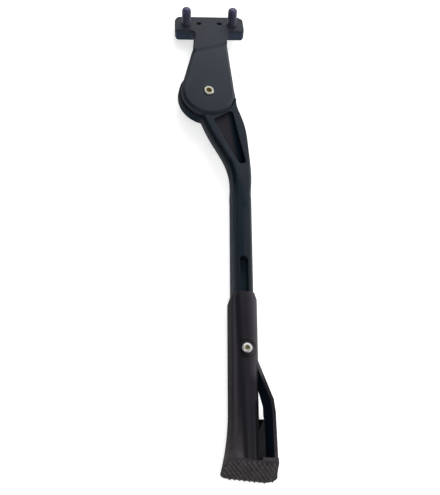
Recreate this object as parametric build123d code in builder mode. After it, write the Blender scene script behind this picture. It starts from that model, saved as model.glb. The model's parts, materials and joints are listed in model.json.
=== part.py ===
from build123d import *
from math import acos, atan2, cos, degrees, hypot, radians, sin, tan
import os

# Mounting bar: a two-bolt pattern on the bicycle frame's plate, in the row's XZ plane.
bolt_spacing = 40.0
spare_spacing = 18.0
spare_radius = 2.3
spare_depth = 6.0
bar_length = 60.0
bar_height = 24.0
bar_depth = 9.0
bar_shoulder = 4.5
bar_corner = 3.0
bar_end = 3.0
neck_left = 13.5
neck_right = 13.6
neck_depth = 7.0
neck_fillet = 4.0
neck_bevel = 1.6

# The neck folds back along a skewed line into the pivot plate.
fold_drop = 35.1
fold_skew = 22.0
fold_left = -17.2
fold_right = 14.9
lean = 20.0
pivot_aside = 20.6
pivot_drop = 43.0
plate_turn = 18.0
plate_radius = 22.2
plate_thickness = 6.0
plate_chamfer = 2.4

# Pivot: a journal on the plate, two flanged bushes in the hub, a screw with washer and lock nut.
journal_radius = 8.0
running_gap = 0.05
bush_wall = 1.2
bush_flange_radius = 11.6
bush_flange = 1.2
bush_length = 4.0
seat_gap = 0.02
face_gap = 0.3
hub_radius = 23.7
hub_depth = 9.5
hub_round = 2.5
washer_thickness = 2.0
washer_radius = 11.6
nut_across = 8.0
nut_height = 4.7
nut_collar = 3.6

# Screws.
m5_radius = 2.5
m5_head_radius = 4.25
m5_head = 5.0
m5_key = 4.0
m5_clear = 0.2
m8_radius = 4.0
m8_thread_radius = 3.75
m8_head_radius = 6.5
m8_head = 5.0
m8_key = 5.0
m8_clear = 0.3
m8_length = 18.0
m8_head_sink = 5.5
pivot_screw_length = 20.0
pivot_head_sink = 4.0
head_clear = 0.35
m4_radius = 2.0
m4_head_radius = 3.5
m4_head = 4.0
m4_key = 3.0
clamp_screw_length = 12.0

# Detent ball between hub and plate.
ball_radius = 2.5
ball_angle = 270.0
ball_circle = 15.0
ball_gap = 0.1
ball_side_gap = 0.15
ball_bury = 0.8
ball_rise = 0.4
detent_depth = 8.0
spring_radius = 1.8
spring_wire = 0.6
spring_turns = 3.0
swing = 85.0

# Swing stop: a lug on the plate in an arc pocket of the hub.
stop_inner = 12.8
stop_outer = 18.2
stop_arc = 16.0
stop_middle = 45.0
stop_height = 3.0
stop_gap = 0.4
stop_slack = 1.0

# Leg: arm sections as (across, up, width, tilt, thickness, level, corner), then a straight shaft.
arm_sections = [
    (7.8, -11.0, 34.4, 23.0, 14.1, -8.55, 2.2),
    (11.7, -28.7, 30.6, 17.0, 14.1, -8.55, 2.2),
    (16.0, -45.2, 25.8, 13.2, 14.1, -8.55, 2.4),
    (18.8, -60.7, 19.2, 8.0, 15.6, -8.3, 3.0),
    (19.9, -75.0, 15.8, 1.0, 18.2, -8.0, 3.8),
]
shoulder_gap = 0.4
shoulder_drop = 5.0
leg_aside = 27.0
leg_slant = 5.4
leg_level = -8.0
leg_width = 14.6
leg_depth = 20.0
leg_corner = 4.2
leg_start = 91.0
leg_settle = 8.0
leg_end = 235.0
leg_end_chamfer = 1.0
pocket_head = -16.8
pocket_shallow = -4.6
pocket_foot = -69.6
pocket_deep = -10.2
pocket_corner = 2.4

# Clamp slot in the leg: a narrow mouth over a wider track for the sliding nut.
slot_width = 6.2
slot_top = 149.4
slot_lip = 4.0
slot_track_width = 9.2
slot_track = 6.5

# Foot: a sleeve on the leg with a fin, an open window and a level sole.
sleeve_gap = 0.25
sleeve_wall = 1.8
sleeve_front_wall = 3.0
sleeve_corner = 6.0
sleeve_top = 178.0
rim_in = 1.5
rim_down = 5.0
clamp_at = 221.2
spot_radius = 7.0
spot_depth = 1.4
slide_up = 50.0
slide_down = 5.0
bore_margin = 2.0
sole_at = 302.2
sole_below = 10.0
sole_pitch = 21.5
sole_roll = 4.5
flare_start = 258.0
flare_mid = 284.0
flare_mid_out = 1.6
flare_out = 8.2
fin_wall = 2.4
fin_inset = 1.0
fin_path = [(6.9, -229.0), (17.4, -255.5), (18.5, -264.0), (19.1, -296.0)]
fin_taper = 15.0
fin_taper_top = 224.0
web_thickness = 2.0
web_top = 264.5
window_top = 236.5
window_front = 6.6
window_side = 9.1
window_break = 12.3
window_turn = 7.5
toe_top = 294.0
toe_side = 20.7
toe_edge = 1.5
toe_corner = 3.0
toe_heel_corner = 12.0
toe_splay_top = 2.6
toe_splay = 9.0
clamp_nut_side = 8.6
clamp_nut_thickness = 4.0
clamp_nut_gap = 0.3

# Shared frames: mounting face, pivot axis (z towards the bicycle), leg axis (y up the leg).
mount_plane = Plane(origin=(0, 0, 0), x_dir=(1, 0, 0), z_dir=(0, -1, 0))
fold_frame = mount_plane.location * Location((0, -fold_drop, 0), (0, 0, fold_skew))
plate_frame = fold_frame * Location((0, 0, 0), (lean, 0, 0))
pivot_frame = plate_frame * Location((-pivot_aside, -pivot_drop, 0), (0, 0, -plate_turn))
pivot_plane = Plane(pivot_frame)
pivot_axis = Axis(pivot_plane.origin, pivot_plane.z_dir)
leg_frame = pivot_frame * Location((leg_aside, 0, leg_level), (0, 0, -leg_slant))
leg_plane = Plane(leg_frame)
pocket_slope = degrees(atan2(pocket_shallow - pocket_deep, pocket_head - pocket_foot))
pocket_plane = Plane(pivot_frame * Location((0, pocket_head, pocket_shallow), (pocket_slope, 0, 0)))

# Levels along the pivot axis, from the plate's inner face outwards.
hub_front = -plate_thickness - face_gap
hub_back = hub_front - hub_depth
journal_end = hub_back - bush_flange - running_gap
nut_seat = journal_end - washer_thickness
ball_level = -plate_thickness + ball_bury - ball_gap - ball_radius
detent_floor = hub_front - detent_depth
bush_radius = journal_radius + running_gap + bush_wall
bush_seat = bush_flange - face_gap + running_gap

# Levels across the leg, from its axis towards the bicycle.
bore_width = leg_width + 2 * sleeve_gap
bore_depth = leg_depth + 2 * sleeve_gap
sleeve_width = bore_width + 2 * sleeve_wall
sleeve_back = -bore_depth / 2 - sleeve_wall
sleeve_front = bore_depth / 2 + sleeve_front_wall
sleeve_middle = (sleeve_front + sleeve_back) / 2
sleeve_depth = sleeve_front - sleeve_back
clamp_seat = sleeve_front - spot_depth
track_front = leg_depth / 2 - slot_lip
track_floor = track_front - slot_track
bore_floor = leg_end + slide_up + bore_margin


def across_leg(at, aside, level):
    """Plane square to the leg, x to its right and y towards the bicycle."""
    return Plane(leg_frame * Location((aside, -at, level), (90, 0, 0)))


def radial_plane(angle):
    """Plane through the pivot axis, x outwards at the angle and y along the axis."""
    return Plane(pivot_frame * Location((0, 0, 0), (0, 0, angle)) * Location((0, 0, 0), (90, 0, 0)))


def fold_point(along):
    """A point of the fold line in the pivot plane's own coordinates."""
    turn = radians(plate_turn)
    x = along + pivot_aside
    y = pivot_drop
    return (x * cos(turn) - y * sin(turn), x * sin(turn) + y * cos(turn))


def socket_screw(seat, radius, length, head_radius, head, key, shank_radius=0.0, shank=0.0):
    """A socket-head screw whose head stands on the seat plane, with a plain shank above the thread if it has one."""
    with BuildPart() as screw:
        with BuildSketch(seat):
            Circle(head_radius)
        extrude(amount=head)
        chamfer(edges().filter_by(GeomType.CIRCLE).sort_by(Axis(seat.origin, seat.z_dir))[-1], 0.5)
        with BuildSketch(seat):
            Circle(radius)
        extrude(amount=-length)
        chamfer(edges().filter_by(GeomType.CIRCLE).sort_by(Axis(seat.origin, seat.z_dir))[0], 0.7)
        if shank:
            with BuildSketch(seat):
                Circle(shank_radius)
            extrude(amount=-shank)
        with BuildSketch(seat.offset(head)):
            RegularPolygon(key / 2, 6, major_radius=False)
        extrude(amount=-head * 0.55, mode=Mode.SUBTRACT)
    return screw.part


# Head bracket: one casting, drawn as the pivot plate, the mounting bar and then their joint features.
with BuildPart() as pivot_plate:
    left_top = fold_point(fold_left)
    right_top = fold_point(fold_right)
    left_angle = atan2(left_top[1], left_top[0]) + acos(plate_radius / hypot(left_top[0], left_top[1]))
    right_angle = atan2(right_top[1], right_top[0]) - acos(plate_radius / hypot(right_top[0], right_top[1]))
    left_touch = (plate_radius * cos(left_angle), plate_radius * sin(left_angle))
    right_touch = (plate_radius * cos(right_angle), plate_radius * sin(right_angle))
    with BuildSketch(pivot_plane):
        with BuildLine():
            ThreePointArc(left_touch, (0, -plate_radius), right_touch)
            Polyline(right_touch, right_top, left_top, left_touch)
        make_face()
    extrude(amount=-plate_thickness)
    plate_face = faces().sort_by(pivot_axis)[-1]
    plate_edges = plate_face.edges().sort_by(Axis(pivot_plane.origin, pivot_plane.y_dir))
    chamfer(plate_edges[:-1], plate_chamfer)

with BuildPart() as mount_bar:
    with BuildSketch(mount_plane) as bar_outline:
        Rectangle(bar_length, bar_height)
        chamfer(vertices().group_by(Axis.Y)[-1], bar_shoulder)
        fillet(vertices().group_by(Axis.Y)[0], bar_corner)
    extrude(amount=-bar_depth)
    with BuildSketch(Plane.XY.offset(-bar_height)):
        with Locations((0, bar_depth / 2)):
            Rectangle(bar_length, bar_depth)
        fillet(vertices().group_by(Axis.Y)[-1], bar_end)
    extrude(amount=2 * bar_height, mode=Mode.INTERSECT)
    with BuildSketch(mount_plane):
        add(bar_outline.sketch_local)
        skew = radians(fold_skew)
        fold_ends = [(x * cos(skew), x * sin(skew) - fold_drop) for x in (fold_left, fold_right)]
        with BuildLine():
            Polyline((-neck_left, 0), (neck_right, 0), (neck_right, -bar_height / 2), fold_ends[1],
                     fold_ends[0], (-neck_left, -bar_height / 2), close=True)
        make_face()
        base_line = vertices().filter_by_position(Axis.Y, -bar_height / 2 - 0.1, -bar_height / 2 + 0.1)
        fillet(base_line.sort_by(Axis.X)[1:-1], neck_fillet)
    extrude(amount=-neck_depth)
    neck_edges = edges().filter_by(GeomType.LINE).filter_by_position(Axis.Y, -0.01, 0.01)
    neck_edges = neck_edges.filter_by_position(Axis.Z, -fold_drop, -bar_height / 2 - 1)
    chamfer(neck_edges.sort_by(Axis.X)[0], neck_bevel)
    chamfer(edges().filter_by_position(Axis.Y, -0.01, 0.01).filter_by_position(Axis.Z, bar_height / 2 - 0.1,
                                                                             bar_height / 2 + 0.1), 0.8)

with BuildPart() as head_bracket:
    add(pivot_plate.part)
    add(mount_bar.part)
    with BuildSketch(pivot_plane.offset(-plate_thickness)):
        Circle(journal_radius)
    extrude(amount=journal_end + plate_thickness)
    with BuildSketch(radial_plane(stop_middle - stop_arc / 2)):
        with Locations(((stop_inner + stop_outer) / 2, -plate_thickness - stop_height / 2 + 0.5)):
            Rectangle(stop_outer - stop_inner, stop_height + 1)
    revolve(axis=pivot_axis, revolution_arc=stop_arc)
    with Locations(pivot_plane):
        CounterBoreHole(m5_radius + m5_clear, m5_head_radius + head_clear, pivot_head_sink, 60)
    with BuildSketch(mount_plane):
        with GridLocations(bolt_spacing, 1, 2, 1):
            Circle(m8_radius + m8_clear)
    extrude(amount=-bar_depth, mode=Mode.SUBTRACT)
    with BuildSketch(mount_plane.offset(-bar_depth)):
        with GridLocations(bolt_spacing, 1, 2, 1):
            Circle(m8_head_radius + head_clear)
    extrude(amount=m8_head_sink, mode=Mode.SUBTRACT)
    with BuildSketch(mount_plane):
        with GridLocations(spare_spacing, 1, 2, 1):
            Circle(spare_radius)
    extrude(amount=-spare_depth, mode=Mode.SUBTRACT)
    with BuildSketch(radial_plane(ball_angle)):
        with Locations((ball_circle, ball_level)):
            Circle(ball_radius + ball_gap)
    revolve(axis=Axis(pivot_plane.origin, -pivot_plane.z_dir), revolution_arc=swing, mode=Mode.SUBTRACT)
    for angle in (ball_angle, ball_angle - swing):
        with Locations(pivot_frame * Location((0, 0, ball_level + ball_rise), (0, 0, angle))
                       * Location((ball_circle, 0, 0))):
            Sphere(ball_radius + ball_gap, mode=Mode.SUBTRACT)

with BuildPart() as mount_bolts:
    for side in (-1, 1):
        seat = Plane(mount_plane.location
                     * Location((side * bolt_spacing / 2, 0, m8_head_sink - bar_depth), (180, 0, 0)))
        add(socket_screw(seat, m8_thread_radius, m8_length, m8_head_radius, m8_head, m8_key,
                         m8_radius, bar_depth - m8_head_sink))

with BuildPart() as pivot_screw:
    add(socket_screw(pivot_plane.offset(-pivot_head_sink), m5_radius, pivot_screw_length,
                     m5_head_radius, m5_head, m5_key))

with BuildPart() as retaining_washer:
    with BuildSketch(pivot_plane.offset(journal_end)):
        Circle(washer_radius)
        Circle(m5_radius + m5_clear, mode=Mode.SUBTRACT)
    extrude(amount=-washer_thickness)
    chamfer(edges().filter_by(GeomType.CIRCLE).sort_by(SortBy.LENGTH)[-2:], 0.4)

with BuildPart() as lock_nut:
    with BuildSketch(pivot_plane.offset(nut_seat)):
        RegularPolygon(nut_across / 2, 6, major_radius=False)
    extrude(amount=-nut_collar)
    with BuildSketch(pivot_plane.offset(nut_seat)):
        Circle(nut_across / 2 - 0.3)
    extrude(amount=-nut_height)
    with BuildSketch(pivot_plane.offset(nut_seat)):
        Circle(m5_radius + seat_gap)
    extrude(amount=-nut_height, mode=Mode.SUBTRACT)

# Bushes: a flange under the plate and a flange under the retaining washer.
with BuildPart() as front_bush:
    with BuildSketch(pivot_plane.offset(-plate_thickness - running_gap)):
        Circle(bush_flange_radius)
    extrude(amount=-bush_flange)
    with BuildSketch(pivot_plane.offset(-plate_thickness - running_gap)):
        Circle(bush_radius)
    extrude(amount=-bush_length)
    with BuildSketch(pivot_plane.offset(-plate_thickness - running_gap)):
        Circle(journal_radius + running_gap)
    extrude(amount=-bush_length, mode=Mode.SUBTRACT)

with BuildPart() as rear_bush:
    with BuildSketch(pivot_plane.offset(hub_back)):
        Circle(bush_flange_radius)
    extrude(amount=-bush_flange)
    with BuildSketch(pivot_plane.offset(hub_back - bush_flange)):
        Circle(bush_radius)
    extrude(amount=bush_length)
    with BuildSketch(pivot_plane.offset(hub_back - bush_flange)):
        Circle(journal_radius + running_gap)
    extrude(amount=bush_length, mode=Mode.SUBTRACT)

# Leg: one casting of hub, pocketed arm and slotted shaft.
with BuildPart() as leg:
    with BuildSketch(across_leg(leg_start + leg_settle, 0, 0)):
        RectangleRounded(leg_width, leg_depth, leg_corner)
    extrude(amount=leg_end - leg_start - leg_settle)
    chamfer(faces().sort_by(Axis(leg_plane.origin, leg_plane.y_dir))[0].edges(), leg_end_chamfer)
    with BuildSketch(pivot_plane.offset(hub_front)):
        Circle(hub_radius)
    extrude(amount=-hub_depth)
    fillet(edges(Select.LAST).filter_by(GeomType.CIRCLE).sort_by(pivot_axis)[0], hub_round)
    for across, up, width, tilt, thickness, level, corner in arm_sections:
        place = pivot_frame * Location((across, up, level), (0, 0, tilt)) * Location((0, 0, 0), (90, 0, 0))
        with BuildSketch(Plane(place)):
            RectangleRounded(width, thickness, corner)
    for at in (leg_start, leg_start + leg_settle):
        with BuildSketch(across_leg(at, 0, 0)):
            RectangleRounded(leg_width, leg_depth, leg_corner)
    loft()
    with BuildSketch(pivot_plane.offset(hub_front)):
        Circle(plate_radius + shoulder_gap)
        with Locations((0, hub_radius - shoulder_drop)):
            Rectangle(4 * hub_radius, 2 * hub_radius)
    extrude(amount=-hub_front + 20, mode=Mode.SUBTRACT)
    with BuildSketch(pocket_plane):
        with BuildLine():
            Polyline((1.8, -9.8), (18.2, 0), (24.2, pocket_foot - pocket_head + 1.6),
                     (18.6, pocket_foot - pocket_head), close=True)
        make_face()
        fillet(vertices(), pocket_corner)
    extrude(amount=30, dir=pivot_plane.z_dir, mode=Mode.SUBTRACT)
    with BuildSketch(radial_plane(stop_middle - stop_arc / 2 - stop_slack)):
        with Locations(((stop_inner + stop_outer) / 2, hub_front - stop_height / 2)):
            Rectangle(stop_outer - stop_inner + 2 * stop_gap, stop_height + stop_gap)
    revolve(axis=pivot_axis, revolution_arc=swing + stop_arc + 2 * stop_slack, mode=Mode.SUBTRACT)
    with BuildSketch(pivot_plane.offset(hub_front)):
        Circle(bush_radius + seat_gap)
    extrude(amount=-hub_depth, mode=Mode.SUBTRACT)
    with BuildSketch(pivot_plane.offset(hub_front)):
        Circle(bush_flange_radius + ball_gap)
    extrude(amount=-bush_seat, mode=Mode.SUBTRACT)
    with BuildSketch(pivot_plane.offset(detent_floor)):
        with PolarLocations(ball_circle, 1, ball_angle):
            Circle(ball_radius + ball_side_gap)
    extrude(amount=detent_depth, mode=Mode.SUBTRACT)
    with BuildSketch(leg_plane.offset(track_front)):
        with Locations((0, -(slot_top + leg_end) / 2 - slot_width / 2)):
            Rectangle(slot_width, leg_end - slot_top)
        with Locations((0, -slot_top - slot_width / 2)):
            Circle(slot_width / 2)
    extrude(amount=slot_lip + 1, mode=Mode.SUBTRACT)
    with BuildSketch(leg_plane.offset(track_floor)):
        with Locations((0, -(slot_top + leg_end) / 2 - slot_width / 2)):
            Rectangle(slot_track_width, leg_end - slot_top)
        with Locations((0, -slot_top - slot_width / 2)):
            Circle(slot_track_width / 2)
    extrude(amount=slot_track, mode=Mode.SUBTRACT)

with BuildPart() as detent_ball:
    with Locations(pivot_frame * Location((0, 0, ball_level), (0, 0, ball_angle)) * Location((ball_circle, 0, 0))):
        Sphere(ball_radius)

with BuildPart() as detent_spring:
    spring_frame = (pivot_frame * Location((0, 0, 0), (0, 0, ball_angle))
                    * Location((ball_circle, 0, detent_floor + spring_wire / 2 + 0.02)))
    spring_height = ball_level - ball_radius - detent_floor - 1.6 * spring_wire
    with BuildLine() as coil:
        Helix(spring_height / spring_turns, spring_height, spring_radius, center=spring_frame.position,
              direction=pivot_plane.z_dir)
    with BuildSketch(Plane(coil.line @ 0, z_dir=coil.line % 0)):
        Circle(spring_wire / 2)
    sweep(path=coil.line, is_frenet=True)

# Foot: one moulding of sleeve, fin, back web and sole block, cut level at the ground.
with BuildPart() as foot:
    with BuildSketch(across_leg(sleeve_top, 0, sleeve_middle)):
        RectangleRounded(sleeve_width, sleeve_depth, sleeve_corner)
    extrude(amount=sole_at + sole_below - sleeve_top)
    rim = faces().sort_by(Axis(leg_plane.origin, leg_plane.y_dir))[-1]
    chamfer(rim.edges(), rim_in, rim_down, reference=rim)
    flare = ((flare_start, 0.0), (flare_mid, flare_mid_out), (sole_at + sole_below, flare_out))
    for at, out in flare:
        with BuildSketch(across_leg(at, -out / 2, sleeve_middle)):
            RectangleRounded(sleeve_width + out, sleeve_depth, sleeve_corner)
    loft()
    with BuildSketch(across_leg(window_top, 0, 0)):
        with BuildLine():
            Polyline((window_front, 30), (window_front, window_break), (window_side, window_turn),
                     (window_side, sleeve_back + fin_inset), (30, sleeve_back + fin_inset), (30, 30), close=True)
        make_face()
    extrude(amount=toe_top - window_top, mode=Mode.SUBTRACT)
    with BuildSketch(leg_plane.offset(sleeve_back + fin_inset)):
        with BuildLine():
            Polyline(*fin_path)
        trace(line_width=fin_wall)
    extrude(amount=sleeve_depth - 2 * fin_inset)
    with BuildSketch(Plane(leg_frame * Location((sleeve_width / 2 + 0.01, 0, 0), (0, 90, 0)))):
        with BuildLine():
            Polyline((-sleeve_back, -web_top), (-sleeve_back, -fin_taper_top),
                     (-sleeve_back - fin_taper, -fin_taper_top), close=True)
        make_face()
    extrude(amount=toe_side, mode=Mode.SUBTRACT)
    with BuildSketch(leg_plane.offset(sleeve_back + fin_inset)):
        with BuildLine():
            Polyline((0, -web_top), (fin_path[2][0], -web_top), (fin_path[3][0], -toe_top - 4),
                     (0, -toe_top - 4), close=True)
        make_face()
    extrude(amount=web_thickness)
    for at, splay, corner, heel in ((toe_top, toe_splay_top, toe_edge, toe_edge),
                                    (sole_at + sole_below, toe_splay, toe_corner, toe_heel_corner)):
        with BuildSketch(across_leg(at, 0, 0)):
            with BuildLine():
                Polyline((0, sleeve_back), (0, sleeve_front), (toe_side, sleeve_front),
                         (toe_side + splay, sleeve_back), close=True)
            make_face()
            fillet(vertices().sort_by(Axis.X)[2:].sort_by(Axis.Y)[-1], corner)
            fillet(vertices().sort_by(Axis.X)[2:].sort_by(Axis.Y)[0], heel)
    loft()
    sole_normal = (leg_plane.y_dir + leg_plane.x_dir * tan(radians(sole_roll))
                   - leg_plane.z_dir * tan(radians(sole_pitch)))
    sole_plane = Plane(origin=leg_plane.from_local_coords((0, -sole_at, 0)), z_dir=sole_normal)
    split(bisect_by=sole_plane, keep=Keep.TOP)
    with BuildSketch(across_leg(sleeve_top, 0, 0)):
        RectangleRounded(bore_width, bore_depth, leg_corner + sleeve_gap)
    extrude(amount=bore_floor - sleeve_top, mode=Mode.SUBTRACT)
    with Locations(leg_frame * Location((0, -clamp_at, sleeve_front))):
        CounterBoreHole(m4_radius + m5_clear, spot_radius, spot_depth, sleeve_front_wall + 1)

with BuildPart() as clamp_screw:
    add(socket_screw(Plane(leg_frame * Location((0, -clamp_at, clamp_seat))), m4_radius, clamp_screw_length,
                     m4_head_radius, m4_head, m4_key))

with BuildPart() as clamp_nut:
    with BuildSketch(leg_plane.offset(track_front - clamp_nut_gap)):
        with Locations((0, -clamp_at)):
            Rectangle(clamp_nut_side, clamp_nut_side)
            Circle(m4_radius + seat_gap, mode=Mode.SUBTRACT)
    extrude(amount=-clamp_nut_thickness)

os.makedirs("parts", exist_ok=True)
head_bracket.part.label = "head_bracket"
mount_bolts.part.label = "mount_bolts"
pivot_screw.part.label = "pivot_screw"
retaining_washer.part.label = "retaining_washer"
lock_nut.part.label = "lock_nut"
front_bush.part.label = "front_bush"
rear_bush.part.label = "rear_bush"
leg.part.label = "leg"
detent_ball.part.label = "detent_ball"
detent_spring.part.label = "detent_spring"
foot.part.label = "foot"
clamp_screw.part.label = "clamp_screw"
clamp_nut.part.label = "clamp_nut"
export_step(head_bracket.part, "parts/head_bracket.step")
export_step(mount_bolts.part, "parts/mount_bolts.step")
export_step(pivot_screw.part, "parts/pivot_screw.step")
export_step(retaining_washer.part, "parts/retaining_washer.step")
export_step(lock_nut.part, "parts/lock_nut.step")
export_step(front_bush.part, "parts/front_bush.step")
export_step(rear_bush.part, "parts/rear_bush.step")
export_step(leg.part, "parts/leg.step")
export_step(detent_ball.part, "parts/detent_ball.step")
export_step(detent_spring.part, "parts/detent_spring.step")
export_step(foot.part, "parts/foot.step")
export_step(clamp_screw.part, "parts/clamp_screw.step")
export_step(clamp_nut.part, "parts/clamp_nut.step")
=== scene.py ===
import json
import math

import bmesh
import bpy
from mathutils import Euler, Matrix, Vector


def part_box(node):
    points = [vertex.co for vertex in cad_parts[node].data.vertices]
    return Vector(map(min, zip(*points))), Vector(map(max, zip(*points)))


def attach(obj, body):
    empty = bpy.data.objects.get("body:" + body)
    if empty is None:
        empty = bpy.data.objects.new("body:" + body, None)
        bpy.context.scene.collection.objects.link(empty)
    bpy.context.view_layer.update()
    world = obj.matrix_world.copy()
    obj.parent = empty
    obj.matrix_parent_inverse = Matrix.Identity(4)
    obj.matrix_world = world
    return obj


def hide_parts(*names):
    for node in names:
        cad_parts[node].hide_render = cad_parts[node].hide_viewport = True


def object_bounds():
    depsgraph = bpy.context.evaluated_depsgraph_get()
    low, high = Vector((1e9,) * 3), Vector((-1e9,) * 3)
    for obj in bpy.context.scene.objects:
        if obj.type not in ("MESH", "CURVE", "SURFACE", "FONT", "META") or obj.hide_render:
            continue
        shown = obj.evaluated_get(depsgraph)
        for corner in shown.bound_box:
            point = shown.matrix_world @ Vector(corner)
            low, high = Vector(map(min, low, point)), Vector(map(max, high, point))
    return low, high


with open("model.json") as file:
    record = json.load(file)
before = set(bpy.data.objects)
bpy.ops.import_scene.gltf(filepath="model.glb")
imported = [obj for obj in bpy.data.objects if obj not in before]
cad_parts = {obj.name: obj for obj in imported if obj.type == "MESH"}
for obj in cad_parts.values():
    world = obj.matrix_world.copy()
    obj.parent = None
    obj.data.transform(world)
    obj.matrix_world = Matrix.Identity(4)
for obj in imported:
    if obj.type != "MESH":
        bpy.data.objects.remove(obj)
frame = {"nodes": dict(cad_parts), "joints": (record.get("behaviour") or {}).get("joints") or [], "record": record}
cad_low, cad_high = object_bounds()


# Head bracket: an aluminium casting with a mounting bar, a folded neck and the round pivot plate.
# It is deburred, so every corner has a small round, and then powder coated in satin black.
bracket_round = 0.0006
merge_gap = 2e-6
flat_angle = math.radians(0.6)
corner_angle = math.radians(32.0)
bracket_black = (0.0096, 0.0124, 0.0168, 1)
bracket_haze = (0.0130, 0.0132, 0.0172, 1)
bracket_sheen = (0.66, 0.80, 1.0, 1)
# Painted light along the bar's underside, and painted shade along the fold of the neck.
underside_painted_light = (0.0240, 0.0320, 0.0540, 1)
underside_line = (Vector((-0.040, 0.0055, -0.0122)), Vector((0.040, 0.0055, -0.0122)))
fold_painted_shade = (0.0010, 0.0040, 0.0060, 1)
fold_line = (Vector((-0.0190, 0.0010, -0.0446)), Vector((0.0170, 0.0010, -0.0300)))


def rounded_copy(node, name, radius):
    """A merged copy of a CAD node with its sharp corners rounded, which then stands for the node."""
    mesh = frame["nodes"][node].data.copy()
    mesh.name = name
    mesh.materials.clear()
    shell = bmesh.new()
    shell.from_mesh(mesh)
    bmesh.ops.remove_doubles(shell, verts=shell.verts, dist=merge_gap)
    bmesh.ops.dissolve_limit(shell, angle_limit=flat_angle, verts=shell.verts, edges=shell.edges)
    for face in shell.faces:
        face.smooth = True
    shell.to_mesh(mesh)
    shell.free()
    mesh.set_sharp_from_angle(angle=corner_angle)
    piece = bpy.data.objects.new(name, mesh)
    bpy.context.scene.collection.objects.link(piece)
    bevel = piece.modifiers.new("deburred corners", "BEVEL")
    bevel.width = radius
    bevel.segments = 2
    bevel.limit_method = "ANGLE"
    bevel.angle_limit = corner_angle
    return piece


def shader_group(name, inputs, outputs):
    """An empty shader node group with named sockets: what it is given, and what it puts out."""
    group = bpy.data.node_groups.new(name, "ShaderNodeTree")
    for label, kind, value in inputs:
        socket = group.interface.new_socket(label, in_out="INPUT", socket_type=kind)
        socket.default_value = value
    for label, kind in outputs:
        group.interface.new_socket(label, in_out="OUTPUT", socket_type=kind)
    return group, group.nodes.new("NodeGroupInput").outputs, group.nodes.new("NodeGroupOutput").inputs


def add_node(tree, kind, links=(), **settings):
    """A node with its settings, its plain input values and its incoming links."""
    node = tree.nodes.new(kind)
    for key, value in settings.items():
        setattr(node, key, value)
    for socket, source in links:
        if isinstance(source, bpy.types.NodeSocket):
            tree.links.new(source, node.inputs[socket])
        else:
            node.inputs[socket].default_value = source
    return node


def maths(tree, operation, *values, **settings):
    """The number that a maths node makes of plain numbers and other sockets."""
    return add_node(tree, "ShaderNodeMath", enumerate(values), operation=operation, **settings).outputs[0]


def vectors(tree, operation, *values):
    """The vector that a vector maths node makes of plain vectors and other sockets."""
    return add_node(tree, "ShaderNodeVectorMath", enumerate(values), operation=operation).outputs[0]


def scaled(tree, direction, length):
    """A vector times a number."""
    links = [(0, direction), ("Scale", length)]
    return add_node(tree, "ShaderNodeVectorMath", links, operation="SCALE").outputs[0]


def measured(tree, operation, *values):
    """The number that a vector maths node makes, such as a dot product or a length."""
    return add_node(tree, "ShaderNodeVectorMath", enumerate(values), operation=operation).outputs["Value"]


def ramp(tree, value, low, high, at_low=0.0, at_high=1.0, shape="LINEAR"):
    """A number carried from one range to another, and held at its ends."""
    links = [("Value", value), ("From Min", low), ("From Max", high)]
    links += [("To Min", at_low), ("To Max", at_high)]
    return add_node(tree, "ShaderNodeMapRange", links, interpolation_type=shape).outputs[0]


def blended(tree, share, first, second):
    """Two colours mixed by the second one's share."""
    links = [("Factor", share), ("A", first), ("B", second)]
    return add_node(tree, "ShaderNodeMix", links, data_type="RGBA").outputs["Result"]


def patches(tree, place, size, detail, roughness=0.5):
    """Soft noise from 0 to 1, whose patches are about one size."""
    rate = maths(tree, "DIVIDE", 1.0, size)
    links = [("Vector", place), ("Scale", rate), ("Detail", detail), ("Roughness", roughness)]
    return add_node(tree, "ShaderNodeTexNoise", links).outputs["Fac"]


def place_on_part(tree):
    """The shaded point in the frame that all pieces share."""
    return add_node(tree, "ShaderNodeTexCoord").outputs["Object"]


def skin_group():
    """Sprayed or moulded skin: a broad drift between two colours, fine grain, and paler worn corners."""
    number, colour = "NodeSocketFloat", "NodeSocketColor"
    group, given, put_out = shader_group(
        "skin",
        [("Colour", colour, bracket_black), ("Drift Colour", colour, bracket_haze),
         ("Drift Size", number, 0.03), ("Grain Size", number, 0.0006), ("Grain Height", number, 0.00002),
         ("Roughness", number, 0.45), ("Roughness Spread", number, 0.08),
         ("Corner Width", number, 0.0008), ("Corner Colour", colour, (0.05, 0.052, 0.055, 1)),
         ("Corner Wear", number, 0.5)],
        [("Colour", colour), ("Roughness", number), ("Normal", "NodeSocketVector")])
    flat_cosine, corner_cosine = 0.995, 0.90
    place = place_on_part(group)
    drift = patches(group, place, given["Drift Size"], detail=3.0, roughness=0.55)
    tone = ramp(group, drift, low=0.35, high=0.65)
    body = blended(group, tone, given["Colour"], given["Drift Colour"])
    corner = add_node(group, "ShaderNodeBevel", [("Radius", given["Corner Width"])], samples=6).outputs[0]
    flat = add_node(group, "ShaderNodeNewGeometry").outputs["True Normal"]
    ridge = ramp(group, measured(group, "DOT_PRODUCT", corner, flat), low=flat_cosine, high=corner_cosine)
    scuff = maths(group, "MULTIPLY", ridge, given["Corner Wear"])
    worn = blended(group, maths(group, "MULTIPLY", scuff, drift), body, given["Corner Colour"])
    sheen = ramp(group, drift, low=0.3, high=0.7, at_low=-0.5, at_high=0.5)
    rough = maths(group, "MULTIPLY_ADD", sheen, given["Roughness Spread"], given["Roughness"])
    grain = patches(group, place, given["Grain Size"], detail=2.0)
    relief = add_node(group, "ShaderNodeBump", [("Height", grain), ("Distance", given["Grain Height"]),
                                                ("Normal", corner)]).outputs[0]
    group.links.new(worn, put_out["Colour"])
    group.links.new(rough, put_out["Roughness"])
    group.links.new(relief, put_out["Normal"])
    return group


skin = skin_group()


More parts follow.
